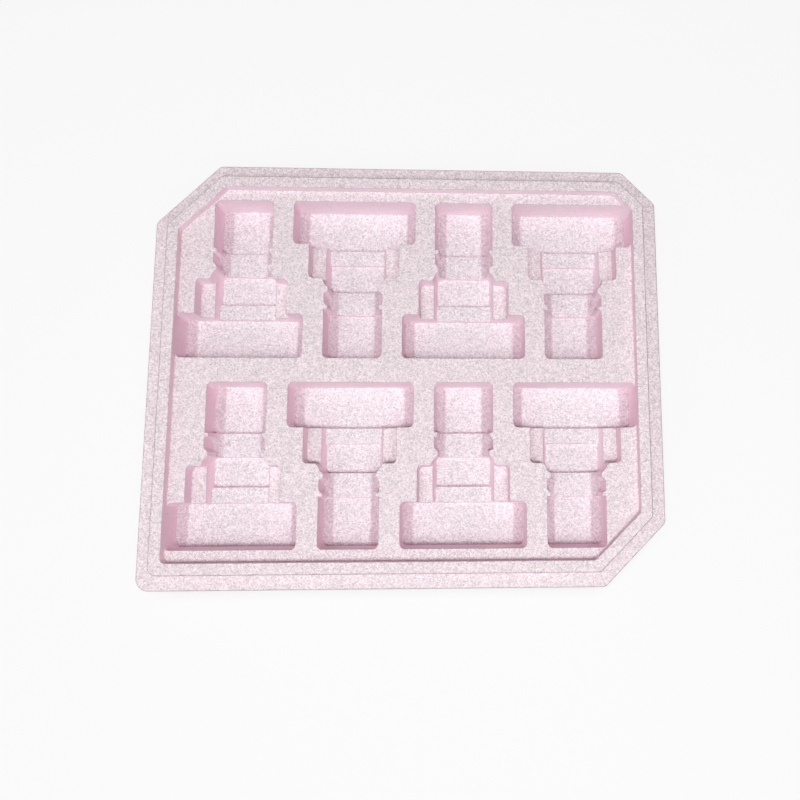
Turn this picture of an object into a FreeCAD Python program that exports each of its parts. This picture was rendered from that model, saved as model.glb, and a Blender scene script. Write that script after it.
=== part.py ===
import FreeCAD, Part
import math
import os
import re
import Sketcher

# Moulded foam packing tray
# One block of expanded polystyrene with eight stepped pockets in two rows of four. Every other pocket
# is turned end for end, so that the wide base of one lies beside the narrow head of the next.
# Millimetres and degrees, +Z up. The origin is the middle of the underside, the long side runs along X
# and the back of the tray is at +Y. A pocket has a frame of its own: its mouth is at Z = 0 and its head
# points to +Y.

NODE = "foam_tray"
ROWS = 2
COLUMNS = 4

# Driving dimensions: each is one cell of the sheet, and all the other lengths are worked out from them
SIZES = {
    # a pocket from above, measured at its mouth, but the channel at the floor of the shoulders
    "pocket_length": 127,
    "base_width": 96.4,
    "base_length": 35.1,
    "shoulder_width": 71,
    "shoulder_length": 27.6,
    "channel_width": 48.5,
    "well_length": 24.8,
    "flare_length": 7.8,
    "neck_width": 40,
    "neck_gap": 3.6,
    "collar_length": 9.3,
    "collar_step": 0.9,
    "collar_slant": 3.3,
    "head_width": 45.6,
    "head_length": 39.1,
    "corner_radius": 4,
    "shoulder_radius": 3.5,
    # how deep each floor lies below the land between the pockets
    "base_depth": 22.5,
    "shoulder_depth": 12.4,
    "shoulder_drop": 0.5,
    "channel_depth": 19.5,
    "well_depth": 22,
    "neck_depth": 19,
    "head_depth": 21.5,
    # the slopes between the floors and the side walls
    "slope_run": 8.4,
    "slope_rise": 3.9,
    "slope_blend": 13,
    "shoulder_slope_run": 4.5,
    "shoulder_slope_rise": 1.2,
    "shoulder_blend": 6,
    # the foam between, around and below the pockets
    "web_width": 16,
    "row_web": 19,
    "end_land": 8.8,
    "floor_thickness": 16,
    "recess_depth": 6,
    "rim_width": 9.5,
    "rim_height": 9.5,
    "ledge_width": 11.8,
    # the corners of the tray: three are cut off at 45 degrees and the fourth is rounded
    "long_cut": 48,
    "short_cut": 27,
    "outer_radius": 10,
    "outer_cut_radius": 6,
    "rim_radius": 6.5,
    "rim_cut_radius": 5,
    "recess_radius": 4,
    "foot_chamfer": 2,
    # the draft that lets the tray leave its mould
    "pocket_draft": 2.7,
    "channel_lean": 17,
    "rim_draft": 2,
    "outer_draft": 1,
}

# Lengths that follow from the driving ones
DERIVED = {
    "column_pitch": "(base_width + head_width) / 2 + web_width",
    "row_pitch": "pocket_length + row_web",
    "pocket_end": "pocket_length / 2",
    "base_wall": "base_length - pocket_end",
    "shoulder_wall": "base_wall + shoulder_length",
    "throat": "shoulder_wall + flare_length",
    "shoulder_lean": "(shoulder_depth + shoulder_drop) * tan(pocket_draft)",
    "flare_run": "(shoulder_width - channel_width) / 2 - shoulder_radius - shoulder_lean",
    "collar_near": "throat + neck_gap + collar_step",
    "collar_far": "collar_near + collar_length",
    "head_wall": "pocket_end - head_length",
    "shoulder_angle": "atan(shoulder_drop / shoulder_length)",
    "land_half_length": "1.5 * column_pitch + base_width / 2",
    "land_half_width": "row_pitch / 2 + pocket_end + end_land",
    "half_length": "land_half_length + rim_width + ledge_width",
    "half_width": "land_half_width + rim_width + ledge_width",
    "land_height": "floor_thickness + base_depth",
    "rim_top": "land_height + recess_depth",
    "ledge_height": "rim_top - rim_height",
}

# Small allowances: how far a part of a pocket reaches into the deeper one beside it, how far a trimming
# shape stands clear, and how much the walls beside the rim are set in so that they run on from it
OVERLAP = 2.0
MARGIN = 5.0
FLUSH_TRIM = 0.1

# Two places this close are the same one
NEAR = 1e-4

WORD = re.compile(r"[a-z][a-z_]+")

doc = FreeCAD.newDocument("foam_tray_model")
sheet = doc.addObject("Spreadsheet::Sheet", "sizes")


def fill_sheet():
    row = 1
    for name, number in SIZES.items():
        sheet.set(f"A{row}", name)
        sheet.set(f"B{row}", str(number))
        sheet.setAlias(f"B{row}", name)
        row += 1
    for name, formula in DERIVED.items():
        sheet.set(f"A{row}", name)
        sheet.set(f"B{row}", "=" + formula)
        sheet.setAlias(f"B{row}", name)
        row += 1
    doc.recompute()


def linked(formula):
    """The formula with each cell's name written as a reference to the sheet."""
    known = SIZES.keys() | DERIVED.keys()
    return WORD.sub(lambda word: "sizes." + word[0] if word[0] in known else word[0], str(formula))


def bind(thing, prop, formula):
    thing.setExpression(prop, linked(formula))


def both_sides(right):
    """A closed outline from its right half, given as (x, y) formulas from one end to the other."""
    left = [(f"-({x})", y) for x, y in reversed(right)]
    return right + left


def add_loop(sketch, corners):
    """A closed chain of lines whose corners are dimensioned from the sketch's origin."""
    count = len(corners)
    first = sketch.GeometryCount
    # placeholder corners on a circle, which the dimensions then move to their places
    turn = 2 * math.pi / count
    spots = [FreeCAD.Vector(60 * math.cos(turn * k), 60 * math.sin(turn * k), 0) for k in range(count)]
    for k in range(count):
        sketch.addGeometry(Part.LineSegment(spots[k], spots[(k + 1) % count]), False)
    for k in range(count):
        following = first + (k + 1) % count
        sketch.addConstraint(Sketcher.Constraint("Coincident", first + k, 2, following, 1))
    for k, (x, y) in enumerate(corners):
        for kind, number, formula in (("DistanceX", spots[k].x, x), ("DistanceY", spots[k].y, y)):
            index = sketch.addConstraint(Sketcher.Constraint(kind, -1, 1, first + k, 1, number))
            bind(sketch, f"Constraints[{index}]", formula)


def add_sketch(body, name, plane, loops, **offset):
    """A sketch on one of the body's own planes, shifted or tilted by the formulas in offset."""
    sketch = body.newObject("Sketcher::SketchObject", name)
    origin_plane = next(item for item in body.Origin.OriginFeatures if item.Role == plane)
    sketch.AttachmentSupport = [(origin_plane, "")]
    sketch.MapMode = "FlatFace"
    if "tilt" in offset:
        sketch.AttachmentOffset = FreeCAD.Placement(
            FreeCAD.Vector(), FreeCAD.Rotation(FreeCAD.Vector(1, 0, 0), 1)
        )
        bind(sketch, "AttachmentOffset.Rotation.Angle", offset["tilt"])
    for axis in ("x", "y", "z"):
        if axis in offset:
            bind(sketch, f"AttachmentOffset.Base.{axis}", offset[axis])
    for corners in loops:
        add_loop(sketch, corners)
    doc.recompute()
    return sketch


def add_pad(body, name, sketch, length, draft, down=True):
    """A block that hangs down from the sketch or stands on it, narrowing away from it by the draft."""
    pad = body.newObject("PartDesign::Pad", name)
    pad.Profile = sketch
    pad.Reversed = down
    bind(pad, "Length", length)
    doc.recompute()
    level = sketch.Placement.Base.z
    sides = []
    for number, face in enumerate(pad.Shape.Faces, 1):
        box = face.BoundBox
        if box.ZLength > NEAR:
            sides.append(f"Face{number}")
        elif abs(box.ZMin - level) < NEAR:
            cap = f"Face{number}"
    slanted = body.newObject("PartDesign::Draft", name + "_draft")
    slanted.Base = (pad, sides)
    slanted.NeutralPlane = (pad, [cap])
    bind(slanted, "Angle", draft)
    doc.recompute()
    if slanted.Shape.Volume > pad.Shape.Volume:
        slanted.Reversed = True
        doc.recompute()
    return slanted


def cut_through(body, name, sketch):
    """Takes the sketched area away along the whole body."""
    pocket = body.newObject("PartDesign::Pocket", name)
    pocket.Profile = sketch
    pocket.SideType = "Symmetric"
    pocket.Type = "ThroughAll"
    doc.recompute()
    return pocket


def edges_from(feature, sketch, corners):
    """The edges of the feature that leave the given corners of the sketch, out of its plane."""
    names = []
    normal = sketch.Placement.Rotation.multVec(FreeCAD.Vector(0, 0, 1))
    for corner in corners:
        point = sketch.Placement.multVec(sketch.getPoint(corner, 1))
        for number, edge in enumerate(feature.Shape.Edges, 1):
            ends = [vertex.Point for vertex in edge.Vertexes]
            if len(ends) != 2:
                continue
            step = ends[1] - ends[0]
            touches = min((end - point).Length for end in ends) < NEAR
            if touches and abs(step.dot(normal)) > 0.8 * step.Length:
                names.append(f"Edge{number}")
    return names


def edges_along(feature, sketch, corners):
    """The edges of the feature that run straight through the given corners, square to the sketch."""
    names = []
    normal = sketch.Placement.Rotation.multVec(FreeCAD.Vector(0, 0, 1))
    for corner in corners:
        point = sketch.Placement.multVec(sketch.getPoint(corner, 1))
        for number, edge in enumerate(feature.Shape.Edges, 1):
            gaps = [(vertex.Point - point).cross(normal).Length for vertex in edge.Vertexes]
            if len(gaps) == 2 and max(gaps) < NEAR:
                names.append(f"Edge{number}")
    return names


def add_fillet(body, name, feature, edges, radius):
    fillet = body.newObject("PartDesign::Fillet", name)
    fillet.Base = (feature, edges)
    bind(fillet, "Radius", radius)
    doc.recompute()
    return fillet


def sloped_section(half_width, depth, run, rise):
    """What lies under a floor that slopes up to the two side walls, as a closed outline."""
    wall = f"{half_width} - ({depth} - {rise}) * tan(pocket_draft)"
    return both_sides([
        (f"{wall} + {MARGIN}", f"-{depth} - {MARGIN}"),
        (f"{wall} + {MARGIN}", f"{rise} - {depth} + {MARGIN} * {rise} / {run}"),
        (f"{wall} - {run}", f"-{depth}"),
    ])


def slope_floor(body, name, feature, half_width, depth):
    """Cuts the floor with its two side slopes and blends each slope into the floor."""
    section = add_sketch(
        body, name + "_section", "XZ_Plane",
        [sloped_section(half_width, depth, "slope_run", "slope_rise")],
    )
    cut = cut_through(body, name + "_floor", section)
    return add_fillet(body, name + "_blend", cut, edges_along(cut, section, (2, 3)), "slope_blend")


# The parts of a pocket, each a solid of the shape that is hollow

def make_base():
    body = doc.addObject("PartDesign::Body", "base")
    outline = add_sketch(body, "base_outline", "XY_Plane", [both_sides([
        ("base_width / 2", "-pocket_end"),
        ("base_width / 2", "base_wall"),
    ])])
    pad = add_pad(body, "base_pad", outline, f"base_depth + {OVERLAP}", "pocket_draft")
    rounded = add_fillet(
        body, "base_corners", pad, edges_from(pad, outline, (0, 1, 2, 3)), "corner_radius"
    )
    slope_floor(body, "base", rounded, "base_width / 2", "base_depth")
    return body


def make_head():
    body = doc.addObject("PartDesign::Body", "head")
    outline = add_sketch(body, "head_outline", "XY_Plane", [both_sides([
        ("head_width / 2", "head_wall"),
        ("head_width / 2", "pocket_end"),
    ])])
    pad = add_pad(body, "head_pad", outline, f"head_depth + {OVERLAP}", "pocket_draft")
    rounded = add_fillet(body, "head_corners", pad, edges_from(pad, outline, (1, 2)), "corner_radius")
    slope_floor(body, "head", rounded, "head_width / 2", "head_depth")
    return body


def make_neck():
    """The neck and its collar, which has a short step at one end and a slant at the other."""
    body = doc.addObject("PartDesign::Body", "neck")
    right = [
        ("neck_width / 2", f"throat - {OVERLAP}"),
        ("neck_width / 2", "collar_near - collar_step"),
        ("head_width / 2", "collar_near"),
        ("head_width / 2", "collar_far - collar_slant / 2"),
        ("neck_width / 2", "collar_far + collar_slant / 2"),
        ("neck_width / 2", f"head_wall + {OVERLAP}"),
    ]
    # on the left the step and the slant change places
    left = [
        ("-neck_width / 2", f"head_wall + {OVERLAP}"),
        ("-neck_width / 2", "collar_far + collar_step"),
        ("-head_width / 2", "collar_far"),
        ("-head_width / 2", "collar_near + collar_slant / 2"),
        ("-neck_width / 2", "collar_near - collar_slant / 2"),
        ("-neck_width / 2", f"throat - {OVERLAP}"),
    ]
    outline = add_sketch(body, "neck_outline", "XY_Plane", [right + left])
    pad = add_pad(body, "neck_pad", outline, f"neck_depth + {OVERLAP}", "pocket_draft")
    slope_floor(body, "neck", pad, "head_width / 2", "neck_depth")
    return body


def lean_sides(body, name):
    """Trims the side walls of the channel, which lean in more than the others."""
    top = f"channel_width / 2 + (shoulder_depth + {MARGIN}) * tan(channel_lean)"
    foot = f"channel_width / 2 - (well_depth - shoulder_depth + {MARGIN}) * tan(channel_lean)"
    side = f"{top} + {MARGIN}"
    right = [
        (top, str(MARGIN)),
        (foot, f"-well_depth - {MARGIN}"),
        (side, f"-well_depth - {MARGIN}"),
        (side, str(MARGIN)),
    ]
    left = [(f"-({x})", y) for x, y in right]
    section = add_sketch(body, name + "_section", "XZ_Plane", [right, left])
    cut_through(body, name + "_sides", section)


def make_channel():
    body = doc.addObject("PartDesign::Body", "channel")
    outline = add_sketch(body, "channel_outline", "XY_Plane", [both_sides([
        (f"channel_width / 2 + {MARGIN}", f"base_wall - {OVERLAP}"),
        (f"channel_width / 2 + {MARGIN}", f"throat - well_length + {OVERLAP + MARGIN}"),
    ])])
    add_pad(body, "channel_pad", outline, "channel_depth", "pocket_draft")
    lean_sides(body, "channel")
    return body


def make_well():
    body = doc.addObject("PartDesign::Body", "well")
    outline = add_sketch(body, "well_outline", "XY_Plane", [both_sides([
        ("channel_width / 2 + 0.7", "throat - well_length"),
        ("channel_width / 2 + 0.7", "shoulder_wall + 0.6"),
        ("head_width / 2 + 0.8", "shoulder_wall + 2.6"),
        ("head_width / 2 - 0.4", "throat - 2.4"),
        ("neck_width / 2", "throat"),
    ])])
    add_pad(body, "well_pad", outline, "well_depth", "pocket_draft")
    lean_sides(body, "well")
    return body


def make_shoulders():
    body = doc.addObject("PartDesign::Body", "shoulders")
    outline = add_sketch(body, "shoulder_outline", "XY_Plane", [both_sides([
        ("shoulder_width / 2", f"base_wall - {OVERLAP}"),
        ("shoulder_width / 2", "shoulder_wall"),
        ("channel_width / 2 + 0.28 * flare_run", "shoulder_wall"),
        ("channel_width / 2 + 0.13 * flare_run", "shoulder_wall + 0.35"),
        ("channel_width / 2", "shoulder_wall + 1.2"),
    ])])
    depth = f"shoulder_depth + shoulder_drop + {MARGIN}"
    pad = add_pad(body, "shoulder_pad", outline, depth, "pocket_draft")
    corners = edges_from(pad, outline, (1, 8))
    rounded = add_fillet(body, "shoulder_corners", pad, corners, "shoulder_radius")
    # the section is square to the sloping floor, and its origin lies on that floor
    wall = "shoulder_width / 2 - (shoulder_depth + shoulder_drop / 2) * tan(pocket_draft)"
    rise = f"shoulder_slope_rise * (1 + {MARGIN} / shoulder_slope_run)"
    section = add_sketch(
        body, "shoulder_section", "XZ_Plane",
        [both_sides([
            (f"{wall} + {MARGIN}", f"-3 * {MARGIN}"),
            (f"{wall} + {MARGIN}", rise),
            (f"{wall} - shoulder_slope_run", "0"),
        ])],
        tilt="shoulder_angle", y="-shoulder_depth", z="-shoulder_wall",
    )
    cut = cut_through(body, "shoulder_floor", section)
    add_fillet(body, "shoulder_blend", cut, edges_along(cut, section, (2, 3)), "shoulder_blend")
    return body


# The tray around the pockets

def tray_outline(inset):
    """The tray from above, moved inward by the inset: four sides, three cut corners and one square."""
    length = f"half_length - ({inset})"
    width = f"half_width - ({inset})"
    long_cut = f"(long_cut - ({inset}) * (2 - sqrt(2)))"
    short_cut = f"(short_cut - ({inset}) * (2 - sqrt(2)))"
    return [
        (f"-({length})", f"-({width})"),
        (f"{length} - {long_cut}", f"-({width})"),
        (length, f"-({width}) + {long_cut}"),
        (length, f"{width} - {short_cut}"),
        (f"{length} - {short_cut}", width),
        (f"-({length}) + {long_cut}", width),
        (f"-({length})", f"{width} - {long_cut}"),
    ]


def round_tray_corners(body, name, pad, sketch, radius, cut_radius):
    rounded = add_fillet(body, name + "_corner", pad, edges_from(pad, sketch, (0,)), radius)
    ends = edges_from(rounded, sketch, range(1, 7))
    return add_fillet(body, name + "_cut_ends", rounded, ends, cut_radius)


def make_block():
    body = doc.addObject("PartDesign::Body", "block")
    outline = add_sketch(body, "block_outline", "XY_Plane", [tray_outline("0")], z="ledge_height")
    pad = add_pad(body, "block_pad", outline, "ledge_height", "outer_draft")
    rounded = round_tray_corners(body, "block", pad, outline, "outer_radius", "outer_cut_radius")
    foot = [
        f"Edge{number}" for number, edge in enumerate(rounded.Shape.Edges, 1)
        if edge.BoundBox.ZMax < NEAR
    ]
    chamfer = body.newObject("PartDesign::Chamfer", "block_foot")
    chamfer.Base = (rounded, foot)
    bind(chamfer, "Size", "foot_chamfer")
    doc.recompute()
    return body


def make_rim():
    body = doc.addObject("PartDesign::Body", "rim")
    outline = add_sketch(body, "rim_outline", "XY_Plane", [tray_outline("ledge_width")], z="ledge_height")
    pad = add_pad(body, "rim_pad", outline, "rim_height", "rim_draft", down=False)
    round_tray_corners(body, "rim", pad, outline, "rim_radius", "rim_cut_radius")
    return body


def make_column():
    """The recess inside the rim, carried on downward with one draft so that it also trims the pockets."""
    body = doc.addObject("PartDesign::Body", "column")
    above = f"(recess_depth + {MARGIN})"
    inset = f"ledge_width + rim_width + {FLUSH_TRIM} - {above} * tan(pocket_draft)"
    outline = add_sketch(
        body, "column_outline", "XY_Plane", [tray_outline(inset)], z=f"rim_top + {MARGIN}"
    )
    pad = add_pad(body, "column_pad", outline, f"{above} + base_depth + {MARGIN}", "pocket_draft")
    round_tray_corners(body, "column", pad, outline, "recess_radius", "recess_radius")
    return body


def make_mouth():
    """All that is open above the land."""
    box = doc.addObject("Part::Box", "mouth")
    bind(box, "Length", "2 * half_length")
    bind(box, "Width", "2 * half_width")
    bind(box, "Height", f"recess_depth + {MARGIN}")
    bind(box, "Placement.Base.x", "-half_length")
    bind(box, "Placement.Base.y", "-half_width")
    bind(box, "Placement.Base.z", "land_height")
    return box


def combine(kind, name, shapes):
    """A fusion, or the first shape with the second taken off it, or what the two share."""
    result = doc.addObject(kind, name)
    if kind == "Part::MultiFuse":
        result.Shapes = shapes
    else:
        result.Base, result.Tool = shapes
    result.Refine = True
    doc.recompute()
    return result


def place_pockets(form):
    """The eight pockets, as copies of one form. Every other column is turned end for end."""
    copies = []
    for row in range(ROWS):
        for column in range(COLUMNS):
            copy = doc.addObject("App::Link", f"pocket_{row + 1}_{column + 1}")
            copy.LinkedObject = form
            if column % 2:
                turned = FreeCAD.Rotation(FreeCAD.Vector(0, 0, 1), 180)
                copy.Placement = FreeCAD.Placement(FreeCAD.Vector(), turned)
            bind(copy, "Placement.Base.x", f"column_pitch * ({column} - {(COLUMNS - 1) / 2})")
            bind(copy, "Placement.Base.y", f"row_pitch * ({(ROWS - 1) / 2} - {row})")
            bind(copy, "Placement.Base.z", "land_height")
            copies.append(copy)
    doc.recompute()
    return copies


def check_states():
    for item in doc.Objects:
        state = [word for word in item.State if word in ("Invalid", "Error")]
        if state:
            raise RuntimeError(f"{item.Name} is {state}")
        shape = getattr(item, "Shape", None)
        if shape is not None and not item.isDerivedFrom("Sketcher::SketchObject"):
            if shape.isNull():
                continue
            if not shape.isValid():
                raise RuntimeError(f"{item.Name} has an invalid shape")


def main():
    fill_sheet()
    cells = [
        make_base(), make_shoulders(), make_channel(), make_well(), make_neck(), make_head(),
    ]
    form = combine("Part::MultiFuse", "pocket_form", cells)
    hollow = combine("Part::MultiFuse", "hollow", place_pockets(form) + [make_mouth()])
    trimmed = combine("Part::Common", "hollow_in_rim", [hollow, make_column()])
    solid = combine("Part::MultiFuse", "solid_tray", [make_block(), make_rim()])
    tray = combine("Part::Cut", "tray", [solid, trimmed])
    tray.Label = NODE
    doc.recompute()
    check_states()
    if len(tray.Shape.Solids) != 1:
        raise RuntimeError(f"the tray has {len(tray.Shape.Solids)} solids")
    os.makedirs("parts", exist_ok=True)
    tray.Shape.exportStep(f"parts/{NODE}.step")
    box = tray.Shape.BoundBox
    print(f"{NODE}: {box.XLength:.2f} x {box.YLength:.2f} x {box.ZLength:.2f} mm")
    print(f"volume {tray.Shape.Volume / 1e6:.4f} litres, {len(tray.Shape.Faces)} faces")


main()
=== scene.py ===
# %% [markdown]
# A foam packing tray, moulded in one piece from pale pink polystyrene beads. The frame that is loaded here
# holds its exact solid: block, ledge, raised rim, recess and eight stepped pockets. Everything below is
# about its looks, in metres and in the same places as that solid.

import math

import bmesh
import bpy
from mathutils import Matrix, Vector
from mathutils.kdtree import KDTree


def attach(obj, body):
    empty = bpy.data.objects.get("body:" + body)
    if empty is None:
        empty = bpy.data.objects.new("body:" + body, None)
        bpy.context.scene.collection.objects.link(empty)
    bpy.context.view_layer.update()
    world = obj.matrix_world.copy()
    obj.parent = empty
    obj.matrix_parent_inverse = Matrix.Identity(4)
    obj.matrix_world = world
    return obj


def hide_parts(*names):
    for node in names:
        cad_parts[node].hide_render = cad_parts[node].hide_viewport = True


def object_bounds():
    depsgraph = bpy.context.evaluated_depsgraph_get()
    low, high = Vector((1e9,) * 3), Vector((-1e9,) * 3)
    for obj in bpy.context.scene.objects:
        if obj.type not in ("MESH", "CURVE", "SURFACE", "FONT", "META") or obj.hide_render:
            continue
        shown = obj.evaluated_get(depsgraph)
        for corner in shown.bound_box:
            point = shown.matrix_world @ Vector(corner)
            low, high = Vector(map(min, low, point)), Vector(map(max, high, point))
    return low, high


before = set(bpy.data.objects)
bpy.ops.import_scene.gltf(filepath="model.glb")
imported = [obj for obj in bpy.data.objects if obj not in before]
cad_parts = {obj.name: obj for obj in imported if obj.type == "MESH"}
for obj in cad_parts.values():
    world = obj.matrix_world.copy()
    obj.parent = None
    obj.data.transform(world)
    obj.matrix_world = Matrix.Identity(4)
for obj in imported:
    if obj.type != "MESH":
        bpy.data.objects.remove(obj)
cad_low, cad_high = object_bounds()
tray_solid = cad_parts["foam_tray"]
print("solid from", [round(v, 4) for v in cad_low], "to", [round(v, 4) for v in cad_high])

# %% [markdown]
# The picture was taken from nearly straight above, a little towards the front edge, and cropped off centre.
# The eye's place, its turn and its focal length are those at which the solid's edges fall on the pictured
# edges. The lens shift is the off-centre crop and nothing more.

# %% Camera
EYE = (0.04193, -0.09243, 0.571)
TURN = Vector((-0.129, 0.04308, 0.001095))
FOCAL_PIXELS = 690.5
CENTRE_PIXEL = 491.3
PICTURE_PIXELS = 800
SENSOR_WIDTH = 36

eye = bpy.data.cameras.new("eye")
eye.sensor_width = SENSOR_WIDTH
eye.lens = FOCAL_PIXELS / PICTURE_PIXELS * SENSOR_WIDTH
eye.shift_x = (PICTURE_PIXELS / 2 - CENTRE_PIXEL) / PICTURE_PIXELS
eye_stand = bpy.data.objects.new("eye_stand", eye)
to_eye = Matrix.Rotation(TURN.length, 4, TURN.normalized())
eye_stand.matrix_world = Matrix.Translation(EYE) @ to_eye.transposed()
bpy.context.collection.objects.link(eye_stand)
bpy.context.scene.camera = eye_stand
print("lens", round(eye.lens, 2), "mm, shift", round(eye.shift_x, 4))

# %% [markdown]
# A moulded foam edge is never razor sharp: the beads there round over by about a third of a millimetre. The
# edges could be rounded only in the shading, but then the mesh itself would keep its knife edges. So the
# tray's skin is a copy of the solid's mesh with every real edge bevelled. The outer upper edges of rim and
# ledge, which the hands and the carton rub, come first and are rounder. Their many segments turn so little,
# each by eleven degrees, that the second bevel leaves them alone.

# %% Closed copy with rounder outer edges
JOIN_WITHIN = 0.00026
OUTER_ROUND = 0.0011
OUTER_SEGMENTS = 8
OUTWARD_FROM = 0.14
TOP_FACE_UP = 0.99
SIDE_FACE_UP = 0.5


def is_outer_upper(edge):
    """Whether an edge is the level convex one between a top face and a side that faces outwards."""
    if not edge.is_manifold or not edge.is_convex:
        return False
    side, top = sorted(edge.link_faces, key=lambda face: face.normal.z)
    if top.normal.z < TOP_FACE_UP or side.normal.z > SIDE_FACE_UP:
        return False
    corner = edge.verts[0].co
    return side.normal.dot(corner) > OUTWARD_FROM and corner.z > cad_high.z / 2


def joined_copy(solid):
    """The solid's mesh as one closed surface, without its shortest edges and with rounder outer edges."""
    skin = bmesh.new()
    skin.from_mesh(solid.data)
    bmesh.ops.remove_doubles(skin, verts=skin.verts, dist=JOIN_WITHIN)
    bmesh.ops.bevel(
        skin,
        geom=[e for e in skin.edges if is_outer_upper(e)],
        offset=OUTER_ROUND,
        offset_type="OFFSET",
        segments=OUTER_SEGMENTS,
        profile=0.5,
        affect="EDGES",
        clamp_overlap=False,
    )
    skin.verts.index_update()
    skin.verts.ensure_lookup_table()
    return skin


print("outer upper edges rounded by", OUTER_ROUND * 1000, "mm")

# %% [markdown]
# Where two edges meet closer than a bevel is wide, the bevel would fold over itself. Such a corner is found
# after each try and left crisp in the next one, until no fold is left.

# %% Softened edges without folds
EDGE_ROUND = 0.00035
EDGE_SEGMENTS = 2
EDGE_ANGLE = math.radians(12)
FOLD_ANGLE = math.radians(100)
CRISP_ANGLE = math.radians(50)
CRISP_REACH = 1.8 * EDGE_ROUND
TRIES = 8


def sharper_than(skin, angle):
    """The edges at which the surface turns by more than an angle."""
    return [e for e in skin.edges if e.is_manifold and e.calc_face_angle(0) > angle]


def round_edges(skin, crisp):
    """Bevels every real edge that touches no crisp corner."""
    edges = [
        e for e in sharper_than(skin, EDGE_ANGLE)
        if e.verts[0].index not in crisp and e.verts[1].index not in crisp
    ]
    bmesh.ops.bevel(
        skin,
        geom=edges,
        offset=EDGE_ROUND,
        offset_type="OFFSET",
        segments=EDGE_SEGMENTS,
        profile=0.5,
        affect="EDGES",
        clamp_overlap=False,
        miter_outer="SHARP",
        miter_inner="SHARP",
        face_strength_mode="ALL",
    )
    return len(edges)


def soft_skin(solid):
    """A new surface in the solid's place, with rounded edges and no folds."""
    crisp = set()
    for attempt in range(1, TRIES + 1):
        skin = joined_copy(solid)
        corners = KDTree(len(skin.verts))
        for corner in skin.verts:
            corners.insert(corner.co, corner.index)
        corners.balance()
        rounded = round_edges(skin, crisp)
        folds = sharper_than(skin, FOLD_ANGLE)
        if not folds or attempt == TRIES:
            break
        for vertex in {v for e in folds for v in e.verts}:
            crisp |= {index for _, index, _ in corners.find_range(vertex.co, CRISP_REACH)}
        skin.free()
    print(rounded, "edges rounded in", attempt, "tries,", len(folds), "folds left")
    return skin


# %% [markdown]
# The rounded strips are narrow, so plain smooth shading would bend the flat faces beside them. A Weighted
# Normal modifier lets the flat faces keep their own direction, and the few crisp edges stay marked as
# sharp.

# %% Tray
FLAT_FACES_LEAD = 100

skin = soft_skin(tray_solid)
for face in skin.faces:
    face.smooth = True
left_crisp = sharper_than(skin, CRISP_ANGLE)
for edge in left_crisp:
    edge.smooth = False
tray_mesh = bpy.data.meshes.new("tray_skin")
skin.to_mesh(tray_mesh)
skin.free()
print(len(left_crisp), "edges left crisp,", len(tray_mesh.polygons), "faces")

tray = bpy.data.objects.new("tray_skin", tray_mesh)
bpy.context.collection.objects.link(tray)
even = tray.modifiers.new("even_shading", "WEIGHTED_NORMAL")
even.keep_sharp = True
even.mode = "FACE_AREA_WITH_ANGLE"
even.weight = FLAT_FACES_LEAD
even.use_face_influence = True
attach(tray, "root")
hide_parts("foam_tray")

# %% [markdown]
# Materials are written as sums. The small class below wraps one socket, so that mask * 0.5 + 0.2 builds its
# own Math nodes. The bar between two masks takes the larger one.

# %% Wires
class Wire:
    """One output socket that can stand in a sum with numbers and other wires."""

    def __init__(self, finish, socket):
        self.finish = finish
        self.socket = socket

    def _sum(self, operation, first, second):
        return self.finish.add("ShaderNodeMath", {"operation": operation}, {0: first, 1: second})

    def __add__(self, other):
        return self._sum("ADD", self, other)

    def __radd__(self, other):
        return self._sum("ADD", other, self)

    def __sub__(self, other):
        return self._sum("SUBTRACT", self, other)

    def __rsub__(self, other):
        return self._sum("SUBTRACT", other, self)

    def __mul__(self, other):
        return self._sum("MULTIPLY", self, other)

    def __rmul__(self, other):
        return self._sum("MULTIPLY", other, self)

    def __or__(self, other):
        return self._sum("MAXIMUM", self, other)


# %% [markdown]
# A finish is all the nodes of one material, or of the world. One method adds any node from its type, its
# settings and its inputs, and the others are the few steps that the finishes below repeat.

# %% Finishes
class Finish:
    """The nodes of a material or of the world, built one by one."""

    def __init__(self, owner):
        owner.use_nodes = True
        self.owner = owner
        self.nodes = owner.node_tree.nodes
        self.links = owner.node_tree.links
        self.nodes.clear()

    def add(self, kind, settings=None, inputs=None, output=0):
        """Adds any node: its settings are set first, then its sockets get values or wires."""
        node = self.nodes.new(kind)
        for name, value in (settings or {}).items():
            setattr(node, name, value)
        for name, value in (inputs or {}).items():
            if isinstance(value, Wire):
                self.links.new(value.socket, node.inputs[name])
            else:
                node.inputs[name].default_value = value
        return Wire(self, node.outputs[output]) if node.outputs else node

    def blend(self, amount, first, second):
        """From one colour to the other through a Mix node."""
        return self.add("ShaderNodeMix", {"data_type": "RGBA"}, {0: amount, 6: first, 7: second}, 2)

    def vector(self, operation, first, second, output=0):
        """A sum of two vectors through a Vector Math node."""
        return self.add("ShaderNodeVectorMath", {"operation": operation}, {0: first, 1: second}, output)

    def scaled(self, colour, amount):
        """A colour made lighter or darker by an amount, through a Vector Math node."""
        return self.add("ShaderNodeVectorMath", {"operation": "SCALE"}, {0: colour, "Scale": amount})

    def spread(self, value, low, high, first=0.0, last=1.0):
        """From the first number to the last while the value goes from low to high, and held beyond."""
        inputs = {0: value, 1: low, 2: high, 3: first, 4: last}
        return self.add("ShaderNodeMapRange", {"interpolation_type": "SMOOTHSTEP"}, inputs)

    def fade(self, value, low, high):
        """A mask that is 1 where the value is below low and 0 where it is above high."""
        return self.spread(value, low, high, 1.0, 0.0)

    def cells(self, place, size, output, feature="F1"):
        """A Voronoi pattern whose cells are about as large as size."""
        settings = {"voronoi_dimensions": "3D", "feature": feature}
        return self.add("ShaderNodeTexVoronoi", settings, {"Vector": place, "Scale": 1 / size}, output)
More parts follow.
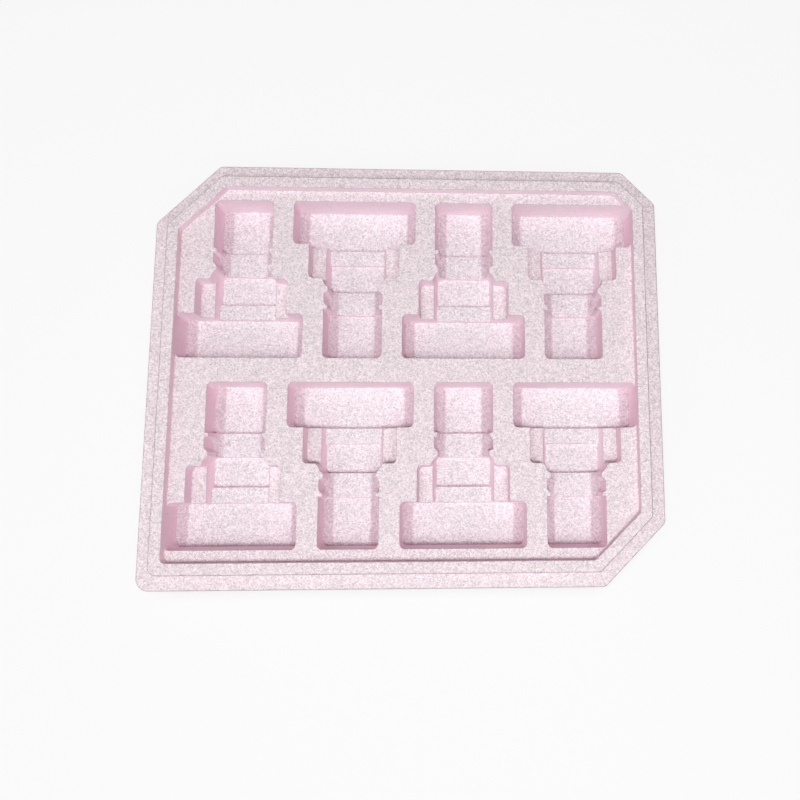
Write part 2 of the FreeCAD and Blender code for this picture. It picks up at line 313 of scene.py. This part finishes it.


# %% [markdown]
# The walls are painted a brighter, deeper pink than the land, as painted bounced light, and the slopes at
# the foot of the walls a darker pink, as painted shade. The surface's own direction tells the three apart.
# The floors of the pockets are painted a little paler than the land. The sides that face outwards are
# painted greyer and the rounded upper edges darker, both as painted shade. Walls with their backs to the
# light get a deeper pink, as painted shade. A side faces outwards where its direction and its place, seen
# from the tray's middle, agree.

# %% Where each colour lies
WALL_UPRIGHT = (0.3, 0.8)
SLOPE_UPRIGHT = (0.93, 0.985)
EDGE_BEGINS = (0.1, 0.4)
EDGE_ENDS = (0.85, 0.97)
FLOOR_HEIGHTS = (0.021, 0.027)
TOWARDS_LIGHT = (-0.10, -0.50, 0.86)
LIT_WALL = (0.1, 0.5)
OUTSIDE_FROM = (0.130, 0.138)

foam = Finish(bpy.data.materials.new("pink_bead_foam"))
place = foam.add("ShaderNodeTexCoord", output="Object")
facing = foam.add("ShaderNodeNewGeometry", output="Normal")
upright = foam.add("ShaderNodeSeparateXYZ", {}, {0: facing}, "Z")
height = foam.add("ShaderNodeSeparateXYZ", {}, {0: place}, "Z")

# These masks place painted light and shade: bounced light on the walls, and shade on the slopes, the
# rounded edges, the walls with their backs to the light and the sides that face outwards.
wall = foam.fade(upright, *WALL_UPRIGHT)
slope = foam.fade(upright, *SLOPE_UPRIGHT)
deep = foam.fade(height, *FLOOR_HEIGHTS)
turning = foam.spread(upright, *EDGE_BEGINS) * foam.fade(upright, *EDGE_ENDS)
unlit = foam.fade(foam.vector("DOT_PRODUCT", facing, TOWARDS_LIGHT, "Value"), *LIT_WALL)
outside = foam.spread(foam.vector("DOT_PRODUCT", facing, place, "Value"), *OUTSIDE_FROM)
print("foam masks:", len(foam.nodes), "nodes")

# %% [markdown]
# The walls that stand with their backs to the light have a plum line of painted shade at their feet. It
# can't be told from a direction, because it lies on the floor beside the wall. An Ambient Occlusion node
# finds it: it measures how open the floor is, and it is turned towards the light, so that only a wall on
# the light's side closes it.

# %% Painted shade at the feet of the walls
FOOT_REACH = 0.0045
FOOT_RAYS = 4
FOOT_OPENNESS = (0.2, 0.5)

light_way = foam.add("ShaderNodeCombineXYZ", {}, dict(enumerate(TOWARDS_LIGHT)))
openness = foam.add(
    "ShaderNodeAmbientOcclusion",
    {"samples": FOOT_RAYS, "only_local": True},
    {"Distance": FOOT_REACH, "Normal": light_way},
    "AO",
)
foot_shade = foam.fade(openness, *FOOT_OPENNESS) * (1.0 - wall)
print("lines at the feet reach", FOOT_REACH * 1000, "mm")

# %% [markdown]
# The colours are laid over each other from the widest surface to the narrowest line, as a painter would:
# land and floors, the painted shade on the slopes, the walls with their painted light and shade, the
# painted shade on the rounded edges and the painted shade at the feet of the walls.

# %% Tone of the skin, with painted light and shade
# Besides the land and floor tones, these colours are painted light and shade: bounced light on the walls,
# and shade on the slopes, on walls with their backs to the light, on outward sides, on rounded edges and at
# the feet of the walls.
TOP_PINK = (0.81, 0.705, 0.745, 1)
FLOOR_PINK = (0.81, 0.73, 0.77, 1)
SLOPE_SHADE_PINK = (0.66, 0.52, 0.58, 1)
WALL_BOUNCE_PINK = (0.94, 0.78, 0.85, 1)
SHADED_PINK = (0.99, 0.72, 0.82, 1)
OUTSIDE_SHADE_PINK = (0.66, 0.55, 0.59, 1)
EDGE_SHADE_PINK = (0.42, 0.32, 0.35, 1)
FOOT_SHADE_PINK = (0.22, 0.05, 0.09, 1)
EDGE_SHADE_AMOUNT = 0.3
OUTER_EDGE_SHADE_AMOUNT = 0.6
FOOT_SHADE_DEPTH = 0.95

# Here the painted light and shade go into the tone: on the walls, the slopes, the rounded edges and at the
# feet of the walls.
walls = foam.blend(unlit, WALL_BOUNCE_PINK, SHADED_PINK)
walls = foam.blend(outside, walls, OUTSIDE_SHADE_PINK)
tone = foam.blend(deep, TOP_PINK, FLOOR_PINK)
tone = foam.blend(slope, tone, SLOPE_SHADE_PINK)
tone = foam.blend(wall, tone, walls)
tone = foam.blend(turning * (1.0 - deep) * (EDGE_SHADE_AMOUNT + OUTER_EDGE_SHADE_AMOUNT * outside), tone, EDGE_SHADE_PINK)
tone = foam.blend(foot_shade * FOOT_SHADE_DEPTH, tone, FOOT_SHADE_PINK)
print("foam tones:", len(foam.nodes), "nodes so far")

# %% [markdown]
# The foam is beads of about two millimetres, pressed together in the mould. Each bead has its own slight
# tone, with darker pores between the beads, and the skin rises over each bead. A Voronoi pattern is exactly
# that: one cell per bead, its random colour, and its distance to the seam. On the walls the grain is rubbed
# smooth.

# %% Beads and pores
BEAD = 0.0017
PORE = 0.0008
MIDDLE_TONE = 0.5
BEAD_CONTRAST = 0.18
PORE_CONTRAST = 0.46
WALL_CALM = 0.75
SEAM_WIDTH = 0.35

bead = foam.add("ShaderNodeSeparateColor", {}, {0: foam.cells(place, BEAD, "Color")}, "Red")
speck = foam.add("ShaderNodeSeparateColor", {}, {0: foam.cells(place, PORE, "Color")}, "Red")
seam_gap = foam.cells(place, BEAD, "Distance", "DISTANCE_TO_EDGE")
grain = (bead - MIDDLE_TONE) * BEAD_CONTRAST + (speck - MIDDLE_TONE) * PORE_CONTRAST
grainy = foam.scaled(tone, 1.0 + grain * (1.0 - WALL_CALM * wall))
dome = foam.spread(seam_gap, 0.0, SEAM_WIDTH)
print("beads of", BEAD * 1000, "mm, specks of", PORE * 1000, "mm")

# %% [markdown]
# The tray has been used. There are tiny pits where single beads fell out, short dents in the rim's upper
# edge, a faint crack across the front right corner and brownish dirt in the shoulder of the last pocket. A
# pit is the middle of a cell of a sparse pattern, and each of the others is an oval: the place of its
# middle and its three radii.

# %% Places of the marks
RIM_TOP = cad_high.z
RIM_EDGE_Y = 0.1546
DENTS = [
    ((-0.0495, RIM_EDGE_Y, RIM_TOP), (0.0034, 0.0005, 0.0008)),
    ((0.0815, RIM_EDGE_Y, RIM_TOP), (0.0012, 0.0005, 0.0008)),
    ((0.0925, RIM_EDGE_Y, RIM_TOP), (0.0026, 0.0005, 0.0008)),
    ((0.1120, RIM_EDGE_Y, RIM_TOP), (0.0016, 0.0005, 0.0008)),
    ((-0.0330, -RIM_EDGE_Y, RIM_TOP), (0.0200, 0.0003, 0.0006)),
    ((0.0100, -RIM_EDGE_Y, RIM_TOP), (0.0120, 0.0003, 0.0006)),
    ((-0.1780, 0.0655, RIM_TOP), (0.0006, 0.0018, 0.0010)),
]
CRACK = ((0.1590, -0.1345, RIM_TOP), (0.0062, 0.0004, 0.0010))
DIRT = ((0.1715, -0.0560, 0.0270), (0.0040, 0.0120, 0.0070))
print(len(DENTS), "dents, a crack and a patch of dirt")

# %% [markdown]
# Each mark has a full core and fades out towards its edge. Dents and pits share one bruised colour, so
# their masks are joined first and coloured once, and the dirt is broken up by a noise into smudges.

# %% Pits, dents and dirt
PIT_SPACING = 0.005
PIT_RADIUS = 0.0005
MARK_CORE = 0.6
PIT_DEPTH = 0.7
BRUISE_PINK = (0.36, 0.22, 0.27, 1)
BRUISE_DEPTH = 0.75
CRACK_GREY = (0.50, 0.44, 0.45, 1)
CRACK_DEPTH = 0.5
DIRT_BROWN = (0.42, 0.27, 0.25, 1)
DIRT_DEPTH = 0.75
SMUDGES_PER_METRE = 260.0
SMUDGE_DETAIL = 3.0
SMUDGE_EDGE = (0.42, 0.62)


def oval(centre, radii):
    """A mask that is 1 inside an oval with the three radii and fades out at its edge."""
    reach = foam.vector("DIVIDE", foam.vector("SUBTRACT", place, centre), radii)
    length = foam.add("ShaderNodeVectorMath", {"operation": "LENGTH"}, {0: reach}, "Value")
    return foam.fade(length, MARK_CORE, 1.0)


from_middle = foam.cells(place, PIT_SPACING, "Distance") * PIT_SPACING
dented = foam.fade(from_middle, MARK_CORE * PIT_RADIUS, PIT_RADIUS) * PIT_DEPTH
for dent in DENTS:
    dented = dented | oval(*dent)
worn = foam.blend(dented * BRUISE_DEPTH, grainy, BRUISE_PINK)
worn = foam.blend(oval(*CRACK) * CRACK_DEPTH, worn, CRACK_GREY)
noise = {"Vector": place, "Scale": SMUDGES_PER_METRE, "Detail": SMUDGE_DETAIL}
smudge = foam.spread(foam.add("ShaderNodeTexNoise", {}, noise), *SMUDGE_EDGE)
worn = foam.blend(oval(*DIRT) * smudge * DIRT_DEPTH, worn, DIRT_BROWN)
print("worn foam:", len(foam.nodes), "nodes so far")

# %% [markdown]
# The surface itself is matt. Each bead is a low dome in the bump, and some beads are a little rougher than
# others, so that the light breaks unevenly on them.

# %% Foam surface
BEAD_BUMP = {"Strength": 0.5, "Distance": 0.00015}
SMOOTHEST = 0.6
BEAD_ROUGHNESS = 0.25
SKIN_GLOSS = 0.3

rough_skin = foam.add("ShaderNodeBump", {}, {**BEAD_BUMP, "Height": dome}, "Normal")
surface = foam.add(
    "ShaderNodeBsdfPrincipled",
    {},
    {
        "Base Color": worn,
        "Roughness": SMOOTHEST + bead * BEAD_ROUGHNESS,
        "Normal": rough_skin,
        "Specular IOR Level": SKIN_GLOSS,
    },
)
foam.add("ShaderNodeOutputMaterial", {}, {"Surface": surface})
tray.data.materials.append(foam.owner)
print("foam finish:", len(foam.nodes), "nodes")

# %% [markdown]
# The tray lies on a white sheet that fills the picture. The sheet's colour is a plain white;
# most of what the eye sees of it is its own even white, so that the shadow under the edges stays faint.
# An Ambient Occlusion node paints a narrow shade into that even white close to the tray.

# %% Floor
FLOOR_HALF = 3.0
FLOOR_DROP = 0.0002
SHEET_WHITE = 0.85
EVEN_WHITE = 0.985
EVEN_SHARE = 0.85
CONTACT_REACH = 0.015
CONTACT_SHADE = 0.28


def grey(value):
    """A colour without a hue."""
    return (value, value, value, 1)


sheet_mesh = bpy.data.meshes.new("white_sheet")
sheet_corners = [(x * FLOOR_HALF, y * FLOOR_HALF, 0) for x, y in ((-1, -1), (1, -1), (1, 1), (-1, 1))]
sheet_mesh.from_pydata(sheet_corners, [], [(0, 1, 2, 3)])
white_sheet = bpy.data.objects.new("white_sheet", sheet_mesh)
bpy.context.collection.objects.link(white_sheet)
white_sheet.location.z = -FLOOR_DROP
paper = Finish(bpy.data.materials.new("white_paper"))
lit = paper.add("ShaderNodeBsdfDiffuse", {}, {"Color": grey(SHEET_WHITE)})
near_tray = 1.0 - paper.add("ShaderNodeAmbientOcclusion", {}, {"Distance": CONTACT_REACH}, "AO")
shaded_white = paper.blend(near_tray, grey(EVEN_WHITE), grey(EVEN_WHITE - CONTACT_SHADE))
even_white = paper.add("ShaderNodeEmission", {}, {"Color": shaded_white})
seen = paper.add("ShaderNodeLightPath", output="Is Camera Ray")
paper_look = paper.add("ShaderNodeMixShader", {}, {0: seen * EVEN_SHARE, 1: lit, 2: even_white})
paper.add("ShaderNodeOutputMaterial", {}, {"Surface": paper_look})
sheet_mesh.materials.append(paper.owner)
print("white sheet:", 2 * FLOOR_HALF, "m wide,", len(paper.nodes), "nodes")

# %% [markdown]
# The light is soft and comes mostly from overhead: a wide lamp with a smaller one in it, which draws the
# shade at the feet of the front walls. Weaker ones stand in front, at the front left and at both sides, the
# left one stronger, and a small one is nearer to the front right corner, where the picture is brightest.
# Each lamp is a place, the length of its side and its watts.

# %% Light
LAMPS = {
    "overhead": ((0.0, -0.25, 1.6), 1.2, 7.8),
    "overhead_small": ((0.0, -0.3, 1.5), 0.3, 8.6),
    "front": ((0.0, -1.5, 1.2), 1.2, 1.5),
    "front_low": ((0.0, -2.0, 0.5), 1.0, 1.2),
    "front_left": ((-1.1, -1.1, 1.2), 1.2, 3.3),
    "left": ((-1.5, 0.0, 1.2), 1.2, 4.6),
    "right": ((1.5, 0.0, 1.2), 1.2, 0.9),
    "near_right": ((0.35, -0.45, 0.9), 0.4, 1.8),
}


def soft_lamp(name, place, size, watts):
    """A square soft lamp that faces the middle of the tray."""
    lamp = bpy.data.lights.new(name, "AREA")
    lamp.shape = "SQUARE"
    lamp.size = size
    lamp.energy = watts
    stand = bpy.data.objects.new(name, lamp)
    stand.location = place
    stand.rotation_euler = (-Vector(place)).to_track_quat("-Z", "Y").to_euler()
    bpy.context.collection.objects.link(stand)


for lamp_name, lamp_facts in LAMPS.items():
    soft_lamp(lamp_name, *lamp_facts)
print(len(LAMPS), "lamps")

# %% [markdown]
# Around the tray there is a faint even light. The eye, reflections and clear things see the same white
# there as on the sheet, so the world looks white without lighting the foam any more.

# %% Surround
SURROUND = 0.05
SEES_WHITE = ("Camera", "Glossy", "Transmission")

surround = Finish(bpy.data.worlds.new("surround"))
bpy.context.scene.world = surround.owner
eye_ray, gloss_ray, clear_ray = [
    surround.add("ShaderNodeLightPath", output=f"Is {ray} Ray") for ray in SEES_WHITE
]
dim = surround.add("ShaderNodeBackground", {}, {"Color": grey(1), "Strength": SURROUND})
bright = surround.add("ShaderNodeBackground", {}, {"Color": grey(1), "Strength": EVEN_WHITE})
either = surround.add("ShaderNodeMixShader", {}, {0: eye_ray | gloss_ray | clear_ray, 1: dim, 2: bright})
surround.add("ShaderNodeOutputWorld", {}, {"Surface": either})
print("surround of", SURROUND, "seen as", EVEN_WHITE)

# %% [markdown]
# The plain view shows each colour about as it is written. The looks must not change the tray's size: the
# bevels only take a little off the edges.

# %% View
bpy.context.scene.view_settings.view_transform = "Standard"
